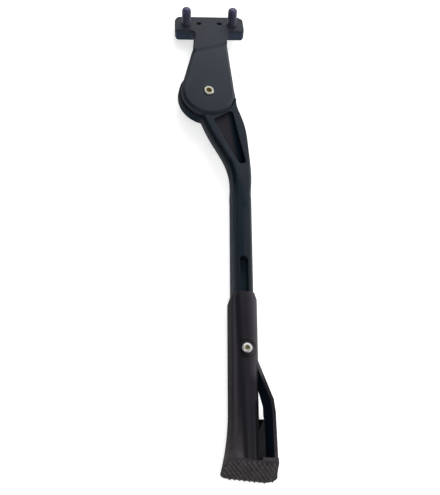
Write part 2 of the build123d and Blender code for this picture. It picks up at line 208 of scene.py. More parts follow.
def skin_material(name, specular, tint, **values):
    """A coated or moulded material: the skin group with this finish's own values."""
    material = bpy.data.materials.new(name)
    material.use_nodes = True
    tree = material.node_tree
    shader = tree.nodes["Principled BSDF"]
    surface = add_node(tree, "ShaderNodeGroup", node_tree=skin)
    for label, value in values.items():
        surface.inputs[label.replace("_", " ")].default_value = value
    tree.links.new(surface.outputs["Colour"], shader.inputs["Base Color"])
    tree.links.new(surface.outputs["Roughness"], shader.inputs["Roughness"])
    tree.links.new(surface.outputs["Normal"], shader.inputs["Normal"])
    shader.inputs["Specular IOR Level"].default_value = specular
    shader.inputs["Specular Tint"].default_value = tint
    return material


def lay_over(material, group, **values):
    """Lays a shader group over a material's own colour, and returns that layer and the shader."""
    tree = material.node_tree
    shader = tree.nodes["Principled BSDF"]
    links = [("Colour", shader.inputs["Base Color"].links[0].from_socket)]
    links += [(label.replace("_", " "), value) for label, value in values.items()]
    layer = add_node(tree, "ShaderNodeGroup", links, node_tree=group)
    tree.links.new(layer.outputs["Colour"], shader.inputs["Base Color"])
    return layer, shader


def painted_light_group():
    """Painted light and shade along a line: another colour that fades out round the line and towards its ends."""
    number, colour, vector = "NodeSocketFloat", "NodeSocketColor", "NodeSocketVector"
    group, given, put_out = shader_group(
        "painted_light",
        [("Colour", colour, bracket_black), ("Streak Colour", colour, bracket_haze),
         ("Middle", vector, (0, 0, 0)), ("Along", vector, (0, 0, 1)), ("Half Width", number, 0.003),
         ("Half Length", number, 0.05), ("Amount", number, 1.0)],
        [("Colour", colour)])
    even_share = 0.75
    offset = vectors(group, "SUBTRACT", place_on_part(group), given["Middle"])
    reached = measured(group, "DOT_PRODUCT", offset, given["Along"])
    aside = measured(group, "DISTANCE", offset, scaled(group, given["Along"], reached))
    beside = ramp(group, aside, 0.0, given["Half Width"], at_low=1.0, at_high=0.0, shape="SMOOTHSTEP")
    fade_start = maths(group, "MULTIPLY", given["Half Length"], even_share)
    before_end = ramp(group, maths(group, "ABSOLUTE", reached), fade_start, given["Half Length"],
                      at_low=1.0, at_high=0.0, shape="SMOOTHSTEP")
    kept = maths(group, "MULTIPLY", beside, before_end)
    share = maths(group, "MULTIPLY", kept, given["Amount"], use_clamp=True)
    group.links.new(blended(group, share, given["Colour"], given["Streak Colour"]), put_out["Colour"])
    return group


painted_light = painted_light_group()


def add_painted_light(material, colour, low, high, half_width, amount=1.0):
    """Lays a band of painted light or painted shade over a material's own colour, along the line between two
    points.
    """
    line = high - low
    lay_over(material, painted_light, Streak_Colour=colour, Middle=(low + high) / 2, Along=line.normalized(),
             Half_Width=half_width, Half_Length=line.length / 2, Amount=amount)


def dress(piece, material, body, slot, *nodes):
    """Gives a piece its material and its body, and hides the CAD nodes that it stands for; the slot is not used.
    """
    piece.data.materials.clear()
    piece.data.materials.append(material)
    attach(piece, body)
    if nodes:
        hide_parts(*nodes)


bracket_coat = skin_material("satin black powder coat", specular=0.24, tint=bracket_sheen,
                             Colour=bracket_black, Drift_Colour=bracket_haze, Drift_Size=0.03,
                             Roughness=0.55, Corner_Width=0.0009, Corner_Colour=(0.075, 0.080, 0.088, 1),
                             Corner_Wear=0.8)
# The coat carries painted light along the bar's underside and painted shade along the neck's fold.
add_painted_light(bracket_coat, underside_painted_light, *underside_line, half_width=0.0062)
add_painted_light(bracket_coat, fold_painted_shade, *fold_line, half_width=0.0032, amount=1.2)
bracket = rounded_copy("head_bracket", "bracket_casting", bracket_round)
dress(bracket, bracket_coat, "bracket", "bracket_coat", "head_bracket")


# Mount bolts: two M8 low-head screws, black oxide steel, pushed through the bar from behind.
# Their rolled threads stand out of the bar's front face, end in a dome and screw into the bicycle frame.
thread_crest = 0.0040
thread_root = 0.00345
thread_pitch = 0.00125
thread_start = 0.0004
flank_slope = 1.7
root_share = 0.3
tip_flat = 0.0016
tip_round = 0.0028
bolt_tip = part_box("mount_bolts")[0].y
mounts = {mount["name"]: mount for mount in frame["record"]["mounts"]}
bolt_apart = mounts["frame_bolts"]["dims"]["spacing_x_mm"] / 1000
bolt_head_end = -0.0002
bolt_head_round = 0.0002
# Painted light: a paler, violet band round the bolts near their tips.
tip_painted_light = (0.0560, 0.0450, 0.1050, 1)
tip_line = (Vector((-0.060, -0.0140, -0.001)), Vector((0.060, -0.0140, -0.001)))


def bridge(shape, ring, following):
    """Joins two rings of as many corners by a band of faces."""
    for step in range(len(ring)):
        after = (step + 1) % len(ring)
        shape.faces.new((ring[step], ring[after], following[after], following[step]))


def closed_piece(shape, name):
    """A new object that holds a closed shape, with its faces turned outwards."""
    bmesh.ops.recalc_face_normals(shape, faces=shape.faces)
    mesh = bpy.data.meshes.new(name)
    shape.to_mesh(mesh)
    shape.free()
    return bpy.data.objects.new(name, mesh)


def threaded_rod(name, start, end, steps=28, rows_per_turn=8):
    """A rolled thread along Y from start to end, with its crest cut back to a dome at the tip."""
    rod = bmesh.new()
    length = start - end
    rows = int(round(length / thread_pitch * rows_per_turn))
    rings = []
    for row in range(rows + 1):
        depth = length * row / rows
        rise = min(1.0, max(0.0, (length - depth) / tip_round))
        dome = tip_flat + (thread_crest - tip_flat) * math.sqrt(1 - (1 - rise) ** 2)
        ring = []
        for step in range(steps):
            angle = 2 * math.pi * step / steps
            phase = (depth / thread_pitch - step / steps) % 1.0
            flank = min(1.0, max(0.0, flank_slope * (0.5 - abs(phase - 0.5)) * 2 - root_share))
            radius = min(dome, thread_root + (thread_crest - thread_root) * flank)
            ring.append(rod.verts.new((radius * math.cos(angle), start - depth, radius * math.sin(angle))))
        rings.append(ring)
    for ring, following in zip(rings, rings[1:]):
        bridge(rod, ring, following)
    rod.faces.new(rings[0][::-1])
    rod.faces.new(rings[-1])
    for face in rod.faces:
        face.smooth = True
    return closed_piece(rod, name)


def shape_tree(name, inputs):
    """An empty geometry tree with named inputs, and what it is given."""
    tree = bpy.data.node_groups.new(name, "GeometryNodeTree")
    for label, kind, value in inputs:
        socket = tree.interface.new_socket(label, in_out="INPUT", socket_type=kind)
        if value is not None:
            socket.default_value = value
    tree.interface.new_socket("Geometry", in_out="OUTPUT", socket_type="NodeSocketGeometry")
    return tree, tree.nodes.new("NodeGroupInput").outputs


def copies(tree, points, piece, **turns):
    """A copy of one piece at each point, turned and scaled as given."""
    links = [("Points", points), ("Instance", piece), *turns.items()]
    return add_node(tree, "GeometryNodeInstanceOnPoints", links).outputs[0]


def end_tree(tree, shape, finish):
    """Ends a geometry tree in one real mesh with its finish."""
    real = add_node(tree, "GeometryNodeRealizeInstances", [("Geometry", shape)]).outputs[0]
    painted = add_node(tree, "GeometryNodeSetMaterial", [("Geometry", real), ("Material", finish)])
    add_node(tree, "NodeGroupOutput", [(0, painted.outputs[0])])
    return tree


def grown(name, tree, values):
    """The plain mesh that a geometry tree makes, as a new object at the origin."""
    holder = bpy.data.objects.new(name, bpy.data.meshes.new(name + "_seed"))
    bpy.context.scene.collection.objects.link(holder)
    grow = holder.modifiers.new("grow", "NODES")
    grow.node_group = tree
    for socket in tree.interface.items_tree:
        if socket.in_out == "INPUT" and socket.name in values:
            grow[socket.identifier] = values[socket.name]
    bpy.context.view_layer.update()
    evaluated = holder.evaluated_get(bpy.context.evaluated_depsgraph_get())
    mesh = bpy.data.meshes.new_from_object(evaluated)
    mesh.name = name
    holder.modifiers.remove(grow)
    holder.data = mesh
    return holder


def side_by_side_tree():
    """Copies of one piece set side by side along X."""
    tree, given = shape_tree("side by side", [
        ("Piece", "NodeSocketObject", None), ("Apart", "NodeSocketFloat", 0.04),
        ("Count", "NodeSocketInt", 2), ("Finish", "NodeSocketMaterial", None)])
    first = add_node(tree, "ShaderNodeCombineXYZ", [("X", maths(tree, "MULTIPLY", given["Apart"], -0.5))])
    step = add_node(tree, "ShaderNodeCombineXYZ", [("X", given["Apart"])])
    row = add_node(tree, "GeometryNodeMeshLine", [("Count", given["Count"]),
                                                  ("Start Location", first.outputs[0]),
                                                  ("Offset", step.outputs[0])]).outputs[0]
    one = add_node(tree, "GeometryNodeObjectInfo", [("Object", given["Piece"])]).outputs["Geometry"]
    return end_tree(tree, copies(tree, row, one), given["Finish"])


bolt_black = skin_material("black oxide", specular=0.4, tint=(0.70, 0.74, 1.0, 1),
                           Colour=(0.026, 0.026, 0.050, 1), Drift_Colour=(0.036, 0.034, 0.062, 1),
                           Drift_Size=0.004, Grain_Size=0.0003, Roughness=0.36, Corner_Width=0.0003,
                           Corner_Colour=(0.13, 0.125, 0.13, 1), Corner_Wear=0.9)
# Painted light: a paler, violet band round the bolts near their tips.
add_painted_light(bolt_black, tip_painted_light, *tip_line, half_width=0.0054, amount=0.9)
bolt_rod = threaded_rod("bolt_rod", thread_start, bolt_tip)
threads = grown("bolt_threads", side_by_side_tree(), {"Piece": bolt_rod, "Apart": bolt_apart, "Count": 2,
                                                      "Finish": bolt_black})
dress(threads, bolt_black, "bracket", "bolt_black")
bolt_heads = rounded_copy("mount_bolts", "bolt_heads", bolt_head_round)
heads = bmesh.new()
heads.from_mesh(bolt_heads.data)
shanks = [corner for corner in heads.verts if corner.co.y < bolt_head_end]
bmesh.ops.delete(heads, geom=shanks, context="VERTS")
heads.to_mesh(bolt_heads.data)
heads.free()
dress(bolt_heads, bolt_black, "bracket", "bolt_black", "mount_bolts")


# Leg: one aluminium casting with the hub, the pocketed arm and the slotted shaft, coated as the bracket is.
# It turns on the bracket's journal, and its front slot carries the sliding nut of the foot.
# The coat carries painted light along the shaft's edges and the arm's rib, and painted shade in the crease and the
# pocket.
leg_round = 0.0007
joints = {joint["name"]: joint for joint in frame["joints"]}
pivot_point = Vector(joints["leg_swing"]["pos_m"])
leg_up = Vector(joints["foot_slide"]["axis"])
leg_out = -Vector(joints["leg_swing"]["axis"])
leg_across = leg_up.cross(leg_out)
clamp_aside = 0.02688
clamp_drop = 0.21866
clamp_level = 0.00525
clamp_point = pivot_point + leg_across * clamp_aside - leg_up * clamp_drop + leg_out * clamp_level
arm_start = 0.118
slot_depth = 0.010
arm_flank_lean = -0.12
shaft_flank_lean = -0.03
flank_rear = -0.45
flank_front = 0.72
floor_facing = 0.98
pocket_tilt = -0.08
# Painted light: the shaft's flank grows paler towards the foot.
shaft_flank_painted_light = (0.052, 0.058, 0.072, 1)
shaft_flank_light_reach = 0.150
# Colours of painted light and painted shade on the leg's coat:
left_edge_painted_light = (0.0230, 0.0310, 0.0450, 1)
right_edge_painted_light = (0.0600, 0.0610, 0.0680, 1)
rib_painted_light = (0.0450, 0.0470, 0.0550, 1)
rib_shade = (0.0005, 0.0030, 0.0045, 1)
crease_shade = (0.0004, 0.0040, 0.0080, 1)
bend_shade = (0.0003, 0.0035, 0.0070, 1)
pocket_shade = (0.0005, 0.0070, 0.0140, 1)


def dust_and_light_group():
    """A paler colour that fades out with height above a given ground, in soft patches: ground dust on the foot,
    painted light on the leg's flank.
    """
    number, colour, vector = "NodeSocketFloat", "NodeSocketColor", "NodeSocketVector"
    group, given, put_out = shader_group(
        "ground dust",
        [("Colour", colour, bracket_black), ("Dust Colour", colour, bracket_haze),
         ("Ground", vector, (0, 0, 0)), ("Down", vector, (0, 0, -1)), ("Reach", number, 0.03),
         ("Amount", number, 0.5), ("Patch Size", number, 0.006)],
        [("Colour", colour)])
    thinning = 1.5
    place = place_on_part(group)
    drop = vectors(group, "SUBTRACT", given["Ground"], place)
    height = measured(group, "DOT_PRODUCT", drop, given["Down"])
    fade = ramp(group, height, 0.0, given["Reach"], at_low=1.0, at_high=0.0)
    patch = patches(group, place, given["Patch Size"], detail=4.0)
    settled = maths(group, "MULTIPLY", patch, maths(group, "POWER", fade, thinning))
    share = maths(group, "MULTIPLY", settled, given["Amount"], use_clamp=True)
    group.links.new(blended(group, share, given["Colour"], given["Dust Colour"]), put_out["Colour"])
    return group


dust_and_light = dust_and_light_group()


def add_dust_and_light(material, colour, ground, down, reach, amount):
    """Lays that paler layer over a material's own colour, thickest at the ground and gone at its reach."""
    lay_over(material, dust_and_light, Dust_Colour=colour, Ground=ground, Down=down, Reach=reach, Amount=amount)


def on_leg(across, up, out):
    """A point given across, up and out of the leg from the clamp screw."""
    return clamp_point + leg_across * across + leg_up * up + leg_out * out


def leg_painted_light(coats, colour, low, high, half_width, amount=1.0):
    """Lays a band of painted light or painted shade over each coat, between two points given across, up and out of
    the leg.
    """
    for coat in coats:
        add_painted_light(coat, colour, on_leg(*low), on_leg(*high), half_width, amount)


def add_finish(piece, material):
    """Adds one more material to a piece, and returns its number there."""
    piece.data.materials.append(material)
    return len(piece.data.materials) - 1


leg_coat = skin_material("satin black leg coat", specular=0.15, tint=(0.60, 0.78, 1.0, 1),
                         Colour=(0.0080, 0.0114, 0.0156, 1), Drift_Colour=(0.0116, 0.0124, 0.0160, 1),
                         Drift_Size=0.035, Roughness=0.55, Corner_Width=0.0012, Corner_Wear=0.4)
# Painted shade: a duller, bluer copy of the coat with little reflection, for the flanks of hub, arm and shaft.
leg_flank_shade = skin_material("leg flank painted shade", specular=0.03, tint=(0.60, 0.80, 1.0, 1),
                          Colour=(0.0060, 0.0125, 0.0180, 1), Drift_Colour=(0.0080, 0.0140, 0.0190, 1),
                          Drift_Size=0.02, Roughness=0.6, Corner_Width=0.0012, Corner_Wear=0.5)
pocket_floor = skin_material("pocket floor", specular=0.08, tint=(0.90, 0.84, 1.0, 1),
                             Colour=(0.0185, 0.0170, 0.0215, 1), Drift_Colour=(0.0210, 0.0190, 0.0230, 1),
                             Drift_Size=0.02, Roughness=0.55, Corner_Width=0.0006, Corner_Wear=0.2)
slot_floor = skin_material("slot floor", specular=0.20, tint=(0.60, 0.80, 1.0, 1),
                           Colour=(0.0110, 0.0240, 0.0330, 1), Drift_Colour=(0.0130, 0.0260, 0.0350, 1),
                           Drift_Size=0.02, Roughness=0.55, Corner_Width=0.0004, Corner_Wear=0.0)
# Painted light on the shaft's flank, paler towards the foot, laid with the fading layer.
add_dust_and_light(leg_flank_shade, shaft_flank_painted_light, clamp_point, -leg_up, shaft_flank_light_reach, amount=1.6)
# Painted light along the shaft's left edge and the arm's rib, a painted highlight along the shaft's right edge,
# and painted shade beside the rib, in the crease, at the bend and in the pocket.
leg_painted_light([leg_flank_shade], left_edge_painted_light, low=(-0.0062, 0.010, -0.0043), high=(-0.0062, 0.150, -0.0043),
           half_width=0.0022)
leg_painted_light([leg_flank_shade], rib_painted_light, low=(-0.0330, 0.1985, -0.0160), high=(-0.0075, 0.1490, -0.0170),
           half_width=0.0050)
leg_painted_light([leg_flank_shade], rib_shade, low=(-0.0325, 0.1975, -0.0095), high=(-0.0075, 0.1490, -0.0090),
           half_width=0.0032, amount=1.2)
leg_painted_light([leg_coat], right_edge_painted_light, low=(0.0072, 0.005, -0.0062), high=(0.0072, 0.160, -0.0062),
           half_width=0.0036)
leg_painted_light([leg_coat, leg_flank_shade], crease_shade, low=(-0.0020, 0.010, -0.0032),
           high=(-0.0020, 0.143, -0.0032), half_width=0.0038, amount=1.3)
leg_painted_light([leg_coat, leg_flank_shade], bend_shade, low=(0.0012, 0.110, -0.0030),
           high=(-0.0105, 0.160, -0.0070), half_width=0.0046, amount=1.3)
leg_painted_light([pocket_floor], pocket_shade, low=(0.0074, 0.135, -0.0173), high=(-0.0074, 0.205, -0.0096),
           half_width=0.0052, amount=1.4)
leg = rounded_copy("leg", "leg_casting", leg_round)
dress(leg, leg_coat, "leg", "leg_coat", "leg")
flank_shade_number = add_finish(leg, leg_flank_shade)
pocket_number = add_finish(leg, pocket_floor)
slot_number = add_finish(leg, slot_floor)
# The left flanks take the shaded copy of the coat, which is painted shade; pocket and slot floors take their own
# tones.
for face in leg.data.polygons:
    offset = face.center - clamp_point
    on_arm = offset.dot(leg_up) > arm_start
    facing_out = face.normal.dot(leg_out)
    leftward = face.normal.dot(leg_across) < (arm_flank_lean if on_arm else shaft_flank_lean)
    if leftward and flank_rear < facing_out < flank_front:
        face.material_index = flank_shade_number
    elif on_arm and facing_out > floor_facing and face.normal.dot(leg_up) < pocket_tilt:
        face.material_index = pocket_number
    elif not on_arm and facing_out > floor_facing and offset.dot(leg_out) < -slot_depth:
        face.material_index = slot_number


# Foot: a glass-filled nylon moulding, warmer and duller than the coated castings.
# It slides on the shaft, and dust from the ground clings to its lower end.
# Its skin carries painted light along both edges of the sleeve, and painted shade along its front and beside the
# window.
foot_round = 0.0006
foot_black = (0.0112, 0.0102, 0.0132, 1)
foot_haze = (0.0150, 0.0134, 0.0162, 1)
foot_sheen = (0.94, 0.86, 1.0, 1)
foot_edge = (0.06, 0.056, 0.060, 1)
ground_dust = (0.062, 0.054, 0.057, 1)
dust_reach = 0.034
stud_height = 0.0016
window_start = 0.0088
window_lean = -0.5
flank_lean = -0.7
sole_facing = 0.999
web_facing = 0.9
web_depth = 0.020
web_corner = Vector((0.0168, -0.0423))
web_corner_slope = Vector((-0.935, 0.356))
sole_point = Vector(mounts["sole"]["pos_m"])
sole_down = Vector(mounts["sole"]["axis"]).normalized()
# Colours of painted light and painted shade on the foot's skin:
sleeve_left_painted_light = (0.0430, 0.0400, 0.0470, 1)
sleeve_right_painted_light = (0.0650, 0.0610, 0.0690, 1)
sleeve_front_shade = (0.0060, 0.0056, 0.0082, 1)
lower_front_shade = (0.0110, 0.0115, 0.0140, 1)
window_edge_shade = (0.0010, 0.0012, 0.0020, 1)
foot_plastic = skin_material("moulded nylon", specular=0.08, tint=foot_sheen, Colour=foot_black,
                             Drift_Colour=foot_haze, Drift_Size=0.025, Grain_Size=0.0004,
                             Grain_Height=0.00003, Roughness=0.62, Corner_Width=0.001,
                             Corner_Colour=foot_edge, Corner_Wear=0.5)
# Painted shade: a duller copy of the nylon, with little reflection, for the foot's left walls.
foot_flank_shade = skin_material("moulded nylon painted shade", specular=0.012, tint=foot_sheen,
                           Colour=(0.0145, 0.0134, 0.0168, 1), Drift_Colour=(0.0180, 0.0162, 0.0195, 1),
                           Drift_Size=0.025, Grain_Size=0.0004, Grain_Height=0.00003, Roughness=0.62,
                           Corner_Width=0.001, Corner_Colour=foot_edge, Corner_Wear=0.5)
foot_skins = [foot_plastic, foot_flank_shade]
for plastic in foot_skins:
    add_dust_and_light(plastic, ground_dust, sole_point, sole_down, dust_reach, amount=1.5)
# Painted light along the sleeve's left edge, painted shade along its front and low on it, a painted highlight
# along its right edge, and painted shade beside the window.
leg_painted_light(foot_skins, sleeve_left_painted_light, low=(-0.0078, -0.095, -0.0022), high=(-0.0078, 0.070, -0.0022),
           half_width=0.0030)
leg_painted_light(foot_skins, sleeve_front_shade, low=(-0.0003, -0.095, -0.0003), high=(-0.0069, 0.060, -0.0003),
           half_width=0.0036, amount=1.1)
leg_painted_light(foot_skins, lower_front_shade, low=(0.0030, -0.085, 0.0), high=(0.0030, -0.036, 0.0),
           half_width=0.0048)
leg_painted_light(foot_skins, sleeve_right_painted_light, low=(0.0090, -0.025, -0.0025), high=(0.0090, 0.060, -0.0025),
           half_width=0.0095)
leg_painted_light(foot_skins, window_edge_shade, low=(0.0075, -0.080, -0.0010), high=(0.0075, -0.034, -0.0010),
           half_width=0.0032, amount=3.0)
# Painted shade: a dark blue copy of the nylon, without reflection, for the walls of the window.
window_painted_shade = skin_material("window wall painted shade", specular=0.0, tint=(0.5, 0.75, 1.0, 1),
                            Colour=(0.0105, 0.0190, 0.0330, 1), Drift_Colour=(0.0125, 0.0215, 0.0365, 1),
                            Drift_Size=0.02, Roughness=0.5, Corner_Width=0.0004, Corner_Wear=0.0)
# Painted light: a paler copy of the nylon for the panel deep at the back of the window.
web_painted_light = skin_material("web panel painted light", specular=0.16, tint=(0.94, 0.96, 1.0, 1),
                         Colour=(0.030, 0.033, 0.037, 1), Drift_Colour=(0.036, 0.039, 0.043, 1),
                         Drift_Size=0.02, Roughness=0.62, Corner_Width=0.0004, Corner_Wear=0.0)
# Painted shade: a near-black copy of the nylon for a triangle at the panel's upper corner.
web_corner_painted_shade = skin_material("web corner painted shade", specular=0.0, tint=(1, 1, 1, 1),
                            Colour=(0.0016, 0.0018, 0.0026, 1), Drift_Colour=(0.0020, 0.0022, 0.0030, 1),
                            Drift_Size=0.02, Roughness=0.8, Corner_Width=0.0004, Corner_Wear=0.0)
tread_floor = skin_material("tread floor", specular=0.10, tint=foot_sheen,
                            Colour=(0.034, 0.030, 0.034, 1), Drift_Colour=(0.048, 0.042, 0.046, 1),
                            Drift_Size=0.006, Roughness=0.7, Corner_Width=0.0004, Corner_Wear=0.0)


def is_web(middle, normal):
    """Whether a face of the foot is the panel at the back of its window."""
    offset = middle - clamp_point
    beyond = offset.dot(leg_across) > window_start
    return beyond and offset.dot(leg_out) < -web_depth and normal.dot(leg_out) > web_facing


foot = rounded_copy("foot", "foot_moulding", foot_round)
shell = bmesh.new()
shell.from_mesh(foot.data)
sole_cut = bmesh.ops.bisect_plane(shell, geom=shell.verts[:] + shell.edges[:] + shell.faces[:], dist=1e-7,
                                  plane_co=sole_point - sole_down * stud_height, plane_no=sole_down,
                                  clear_outer=True)
sole_rim = [part for part in sole_cut["geom_cut"] if isinstance(part, bmesh.types.BMEdge)]
sole_faces = bmesh.ops.edgeloop_fill(shell, edges=sole_rim)["faces"]
for face in sole_faces:
    face.smooth = True
    if face.normal.dot(sole_down) < 0:
        face.normal_flip()
for edge in sole_rim:
    edge.smooth = False
sole_plan = [[corner.co.copy() for corner in face.verts] for face in sole_faces]
web = [face for face in shell.faces if is_web(face.calc_center_median(), face.normal)]
web_edges = [edge for face in web for edge in face.edges]
web_verts = [corner for face in web for corner in face.verts]
# The panel's faces are cut along a slant line, so that its upper corner can take the painted shade.
corner_point = clamp_point + leg_across * web_corner.x + leg_up * web_corner.y
corner_side = leg_across * web_corner_slope.x + leg_up * web_corner_slope.y
bmesh.ops.bisect_plane(shell, geom=list(set(web + web_edges + web_verts)), plane_co=corner_point,
                       plane_no=corner_side)
shell.to_mesh(foot.data)
shell.free()
dress(foot, foot_plastic, "foot", "foot_plastic", "foot")
window_shade_number = add_finish(foot, window_painted_shade)
web_light_number = add_finish(foot, web_painted_light)
floor_number = add_finish(foot, tread_floor)
corner_shade_number = add_finish(foot, web_corner_painted_shade)
foot_flank_shade_number = add_finish(foot, foot_flank_shade)
# Copies of the nylon go on by face: painted shade on the window's walls, the panel's corner and the left walls,
# painted light on the panel, and the tread floor its own tone.
for face in foot.data.polygons:
    beyond = (face.center - clamp_point).dot(leg_across) > window_start
    if beyond and face.normal.dot(leg_across) < window_lean:
        face.material_index = window_shade_number
    elif face.normal.dot(sole_down) > sole_facing:
        face.material_index = floor_number
    elif is_web(face.center, face.normal):
        in_corner = (face.center - corner_point).dot(corner_side) > 0
        face.material_index = corner_shade_number if in_corner else web_light_number
    elif face.normal.dot(leg_across) < flank_lean:
        face.material_index = foot_flank_shade_number


# Tread: staggered rows of moulded studs over the sole, in the foot's own nylon, scuffed by the ground.
# The sole is set back by their height, so that their tops stand on the ground.
stud_pitch = 0.0034
stud_row = 0.0025
stud_base = 0.00145
stud_top = 0.0005
stud_sides = 6
stud_worn_least = (0.70, 0.70, 0.78)
tread_margin = 0.00125
tread_size = 0.046
probe_lift = 0.002
probe_reach = 0.006


def tread_tree():
    """Studs in staggered rows over a flat sole, kept clear of its edge."""
    number, vector = "NodeSocketFloat", "NodeSocketVector"
    tree, given = shape_tree("tread", [
        ("Sole", "NodeSocketObject", None), ("Middle", vector, (0, 0, 0)), ("Across", vector, (1, 0, 0)),
        ("Along", vector, (0, 1, 0)), ("Down", vector, (0, 0, -1)), ("Size", number, 0.05),
        ("Pitch", number, 0.0037), ("Row", number, 0.0026), ("Margin", number, 0.001),
        ("Stud Base", number, 0.0018), ("Stud Top", number, 0.0005), ("Stud Height", number, 0.0012),
        ("Seed", "NodeSocketInt", 7), ("Finish", "NodeSocketMaterial", None)])
    columns = maths(tree, "FLOOR", maths(tree, "DIVIDE", given["Size"], given["Pitch"]))
    rows = maths(tree, "FLOOR", maths(tree, "DIVIDE", given["Size"], given["Row"]))
    wide = maths(tree, "MULTIPLY", maths(tree, "SUBTRACT", columns, 1.0), given["Pitch"])
    deep = maths(tree, "MULTIPLY", maths(tree, "SUBTRACT", rows, 1.0), given["Row"])
    grid = add_node(tree, "GeometryNodeMeshGrid", [("Size X", wide), ("Size Y", deep),
                                                   ("Vertices X", columns), ("Vertices Y", rows)])
    spot = add_node(tree, "GeometryNodeInputPosition").outputs[0]
    flat = add_node(tree, "ShaderNodeSeparateXYZ", [(0, spot)]).outputs
    from_first = maths(tree, "ADD", flat["Y"], maths(tree, "MULTIPLY", deep, 0.5))
    row_number = maths(tree, "ROUND", maths(tree, "DIVIDE", from_first, given["Row"]))
    odd = maths(tree, "MODULO", row_number, 2.0)
    stagger = maths(tree, "MULTIPLY", odd, maths(tree, "MULTIPLY", given["Pitch"], 0.5))
    across = scaled(tree, given["Across"], maths(tree, "ADD", flat["X"], stagger))
    along = scaled(tree, given["Along"], flat["Y"])
    on_sole = vectors(tree, "ADD", given["Middle"], vectors(tree, "ADD", across, along))
    laid = add_node(tree, "GeometryNodeSetPosition", [("Geometry", grid.outputs["Mesh"]),
                                                      ("Position", on_sole)]).outputs[0]
    sole = add_node(tree, "GeometryNodeObjectInfo", [("Object", given["Sole"])]).outputs["Geometry"]
    here = add_node(tree, "GeometryNodeInputPosition").outputs[0]
    below = vectors(tree, "ADD", here, scaled(tree, given["Down"], probe_lift))
    struck = add_node(tree, "GeometryNodeRaycast", [("Target Geometry", sole), ("Source Position", below),
                                                    ("Ray Direction", scaled(tree, given["Down"], -1.0)),
                                                    ("Ray Length", probe_reach)]).outputs["Is Hit"]
    rim = add_node(tree, "GeometryNodeProximity", [(0, sole)], target_element="EDGES").outputs["Distance"]
    near_rim = add_node(tree, "FunctionNodeCompare", [(0, rim), (1, given["Margin"])], data_type="FLOAT",
                        operation="LESS_THAN").outputs[0]
    missed = add_node(tree, "FunctionNodeBooleanMath", [(0, struck)], operation="NOT").outputs[0]
    spare = add_node(tree, "FunctionNodeBooleanMath", [(0, near_rim), (1, missed)],
                     operation="OR").outputs[0]
    kept = add_node(tree, "GeometryNodeDeleteGeometry", [("Geometry", laid), ("Selection", spare)],
                    domain="POINT").outputs[0]
    stud = add_node(tree, "GeometryNodeMeshCone", [("Vertices", stud_sides),
                                                   ("Radius Top", given["Stud Top"]),
                                                   ("Radius Bottom", given["Stud Base"]),
                                                   ("Depth", given["Stud Height"])]).outputs["Mesh"]
    turned = add_node(tree, "FunctionNodeAlignRotationToVector", [("Vector", given["Down"])], axis="Z")
    worn = add_node(tree, "FunctionNodeRandomValue", [("Min", stud_worn_least), ("Max", (1.0, 1.0, 1.0)),
                                                      ("Seed", given["Seed"])], data_type="FLOAT_VECTOR")
    studs = copies(tree, kept, stud, Rotation=turned.outputs[0], Scale=worn.outputs[0])
    return end_tree(tree, studs, given["Finish"])


sole_scuffed = skin_material("scuffed nylon", specular=0.16, tint=(0.96, 0.90, 1.0, 1),
                             Colour=(0.060, 0.053, 0.058, 1), Drift_Colour=(0.120, 0.108, 0.114, 1),
                             Drift_Size=0.004, Grain_Size=0.0005, Grain_Height=0.00005, Roughness=0.75,
                             Corner_Width=0.0005, Corner_Colour=(0.11, 0.10, 0.10, 1), Corner_Wear=1.0)
add_dust_and_light(sole_scuffed, ground_dust, sole_point, sole_down, dust_reach, amount=0.5)
sole_mesh = bpy.data.meshes.new("sole_plan")
sole_corners = [corner for face in sole_plan for corner in face]
sole_starts = [sum(len(face) for face in sole_plan[:n]) for n in range(len(sole_plan))]
sole_mesh.from_pydata(sole_corners, [], [list(range(start, start + len(face)))
                                         for start, face in zip(sole_starts, sole_plan)])
sole_piece = bpy.data.objects.new("sole_plan", sole_mesh)
sole_across = (leg_across - sole_down * leg_across.dot(sole_down)).normalized()
sole_along = sole_down.cross(sole_across)
sole_middle = sum(sole_corners, Vector()) / len(sole_corners)
tread = grown("tread_studs", tread_tree(), {
    "Sole": sole_piece, "Middle": sole_middle, "Across": sole_across, "Along": sole_along, "Down": sole_down,
    "Size": tread_size, "Pitch": stud_pitch, "Row": stud_row, "Margin": tread_margin, "Stud Base": stud_base,
    "Stud Top": stud_top, "Stud Height": stud_height, "Seed": 7, "Finish": sole_scuffed})
dress(tread, sole_scuffed, "foot", "foot_plastic")


# Screws, washer and lock nut: zinc-plated steel, bright, with a warm tint in the sockets.
# The pivot screw holds the hub on the journal, and the clamp screw fixes the foot's height.
screw_round = 0.0002
pivot_head_proud = 0.0010
pivot_head = pivot_point + leg_out * pivot_head_proud
pivot_head_radius = 0.00425
pivot_head_height = 0.0050
pivot_stain_radius = 0.0026
clamp_head_proud = 0.0026
clamp_head = clamp_point + leg_out * clamp_head_proud
clamp_head_radius = 0.0035
clamp_head_height = 0.0040
clamp_stain_radius = 0.0017
ridge_count = 40
ridge_share = 0.08
ridge_rise = 0.0001
plain_rim = 0.0005


